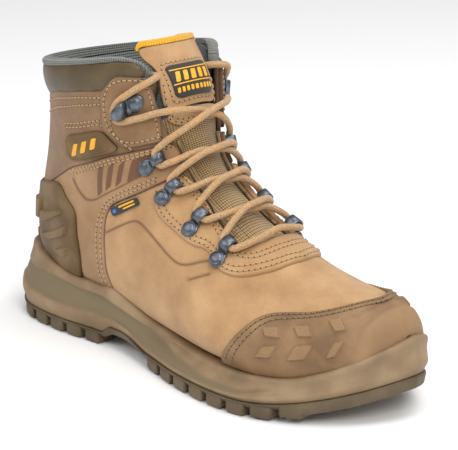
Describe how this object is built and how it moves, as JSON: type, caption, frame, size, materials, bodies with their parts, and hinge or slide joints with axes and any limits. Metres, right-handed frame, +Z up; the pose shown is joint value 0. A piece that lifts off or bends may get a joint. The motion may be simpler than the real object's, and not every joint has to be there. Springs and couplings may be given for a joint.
{
  "type": "work boot",
  "caption": "Ankle-high steel toe work boot in tan nubuck with a scuff bumper, padded collar, lace loops and hooks, and a lugged rubber sole.",
  "frame": {"origin": "on the ground, under the middle of the boot's box", "axes": "+X to the toe, +Y to the inner side of the foot, +Z up; right boot"},
  "size_m": [0.3126, 0.1176, 0.1949],
  "materials": {
    "nubuck": "soft nap, pale tan nubuck",
    "collar_leather": "smooth, slightly pebbled olive brown leather",
    "scuff_rubber": "matte moulded rubber with a fine leather grain",
    "counter_rubber": "matte moulded olive rubber",
    "grey_textile": "matte grey knitted textile",
    "tan_webbing": "coarse tan woven textile",
    "yellow_webbing": "bright yellow ribbed webbing",
    "label_rubber": "matte black moulded label",
    "lace_braid": "round braid, sand with orange flecks",
    "aglet_plastic": "matte brown plastic sleeve",
    "gunmetal": "satin dark gunmetal coating",
    "cap_steel": "pressed steel",
    "outsole_rubber": "matte brown tread rubber",
    "midsole_foam": "matte moulded polyurethane foam",
    "soft_foam": "soft foam with a textile face",
    "fibre_board": "pressed fibre board"
  },
  "bodies": {
    "upper_and_sole": {"lace_loop_1_lateral": "gunmetal", "rivet_loop_1_lateral": "gunmetal", "lace_loop_1_medial": "gunmetal", "rivet_loop_1_medial": "gunmetal", "lace_loop_2_lateral": "gunmetal", "rivet_loop_2_lateral": "gunmetal", "lace_loop_2_medial": "gunmetal", "rivet_loop_2_medial": "gunmetal", "lace_loop_3_lateral": "gunmetal", "rivet_loop_3_lateral": "gunmetal", "lace_loop_3_medial": "gunmetal", "rivet_loop_3_medial": "gunmetal", "lace_loop_4_lateral": "gunmetal", "rivet_loop_4_lateral": "gunmetal", "lace_loop_4_medial": "gunmetal", "rivet_loop_4_medial": "gunmetal", "lace_hook_lateral": "gunmetal", "rivet_hook_lateral": "gunmetal", "lace_hook_medial": "gunmetal", "rivet_hook_medial": "gunmetal", "lace": "lace_braid", "aglet_medial": "aglet_plastic", "aglet_lateral": "aglet_plastic", "vamp": "nubuck", "eyestay": "nubuck", "rear_panel": "nubuck", "collar_pad": "collar_leather", "collar_lining": "grey_textile", "toe_bumper": "scuff_rubber", "heel_counter": "counter_rubber", "ankle_band_lateral": "nubuck", "side_badge_lateral": "counter_rubber", "eyelet_panel_lateral": "nubuck", "facing_tape_lateral": "tan_webbing", "tongue_gusset_lateral": "grey_textile", "ankle_band_medial": "nubuck", "side_badge_medial": "counter_rubber", "eyelet_panel_medial": "nubuck", "facing_tape_medial": "tan_webbing", "tongue_gusset_medial": "grey_textile", "seam_tag": "label_rubber", "toe_cap": "cap_steel", "toe_cap_edge_pad": "soft_foam", "heel_stiffener": "fibre_board", "puncture_plate": "grey_textile", "insole_board": "fibre_board", "vamp_lining": "grey_textile", "quarter_lining": "grey_textile", "tongue_base": "tan_webbing", "outsole": "outsole_rubber", "midsole": "midsole_foam"},
    "tongue_top": {"tongue_top_pad": "soft_foam", "tongue_patch": "nubuck", "tongue_label": "label_rubber", "tongue_pull_tape": "yellow_webbing"},
    "footbed": {"footbed": "soft_foam"}
  },
  "joints": [
    {"name": "tongue_flex", "type": "hinge", "parent": "upper_and_sole", "child": "tongue_top", "pos_m": [-0.0133, 0.0038, 0.1556], "axis": [0, 1, 0], "range_deg": [0, 22]},
    {"name": "footbed_lift", "type": "hinge", "parent": "upper_and_sole", "child": "footbed", "pos_m": [0.136, 0.0038, 0.0275], "axis": [0, 1, 0], "range_deg": [0, 6]}
  ]
}
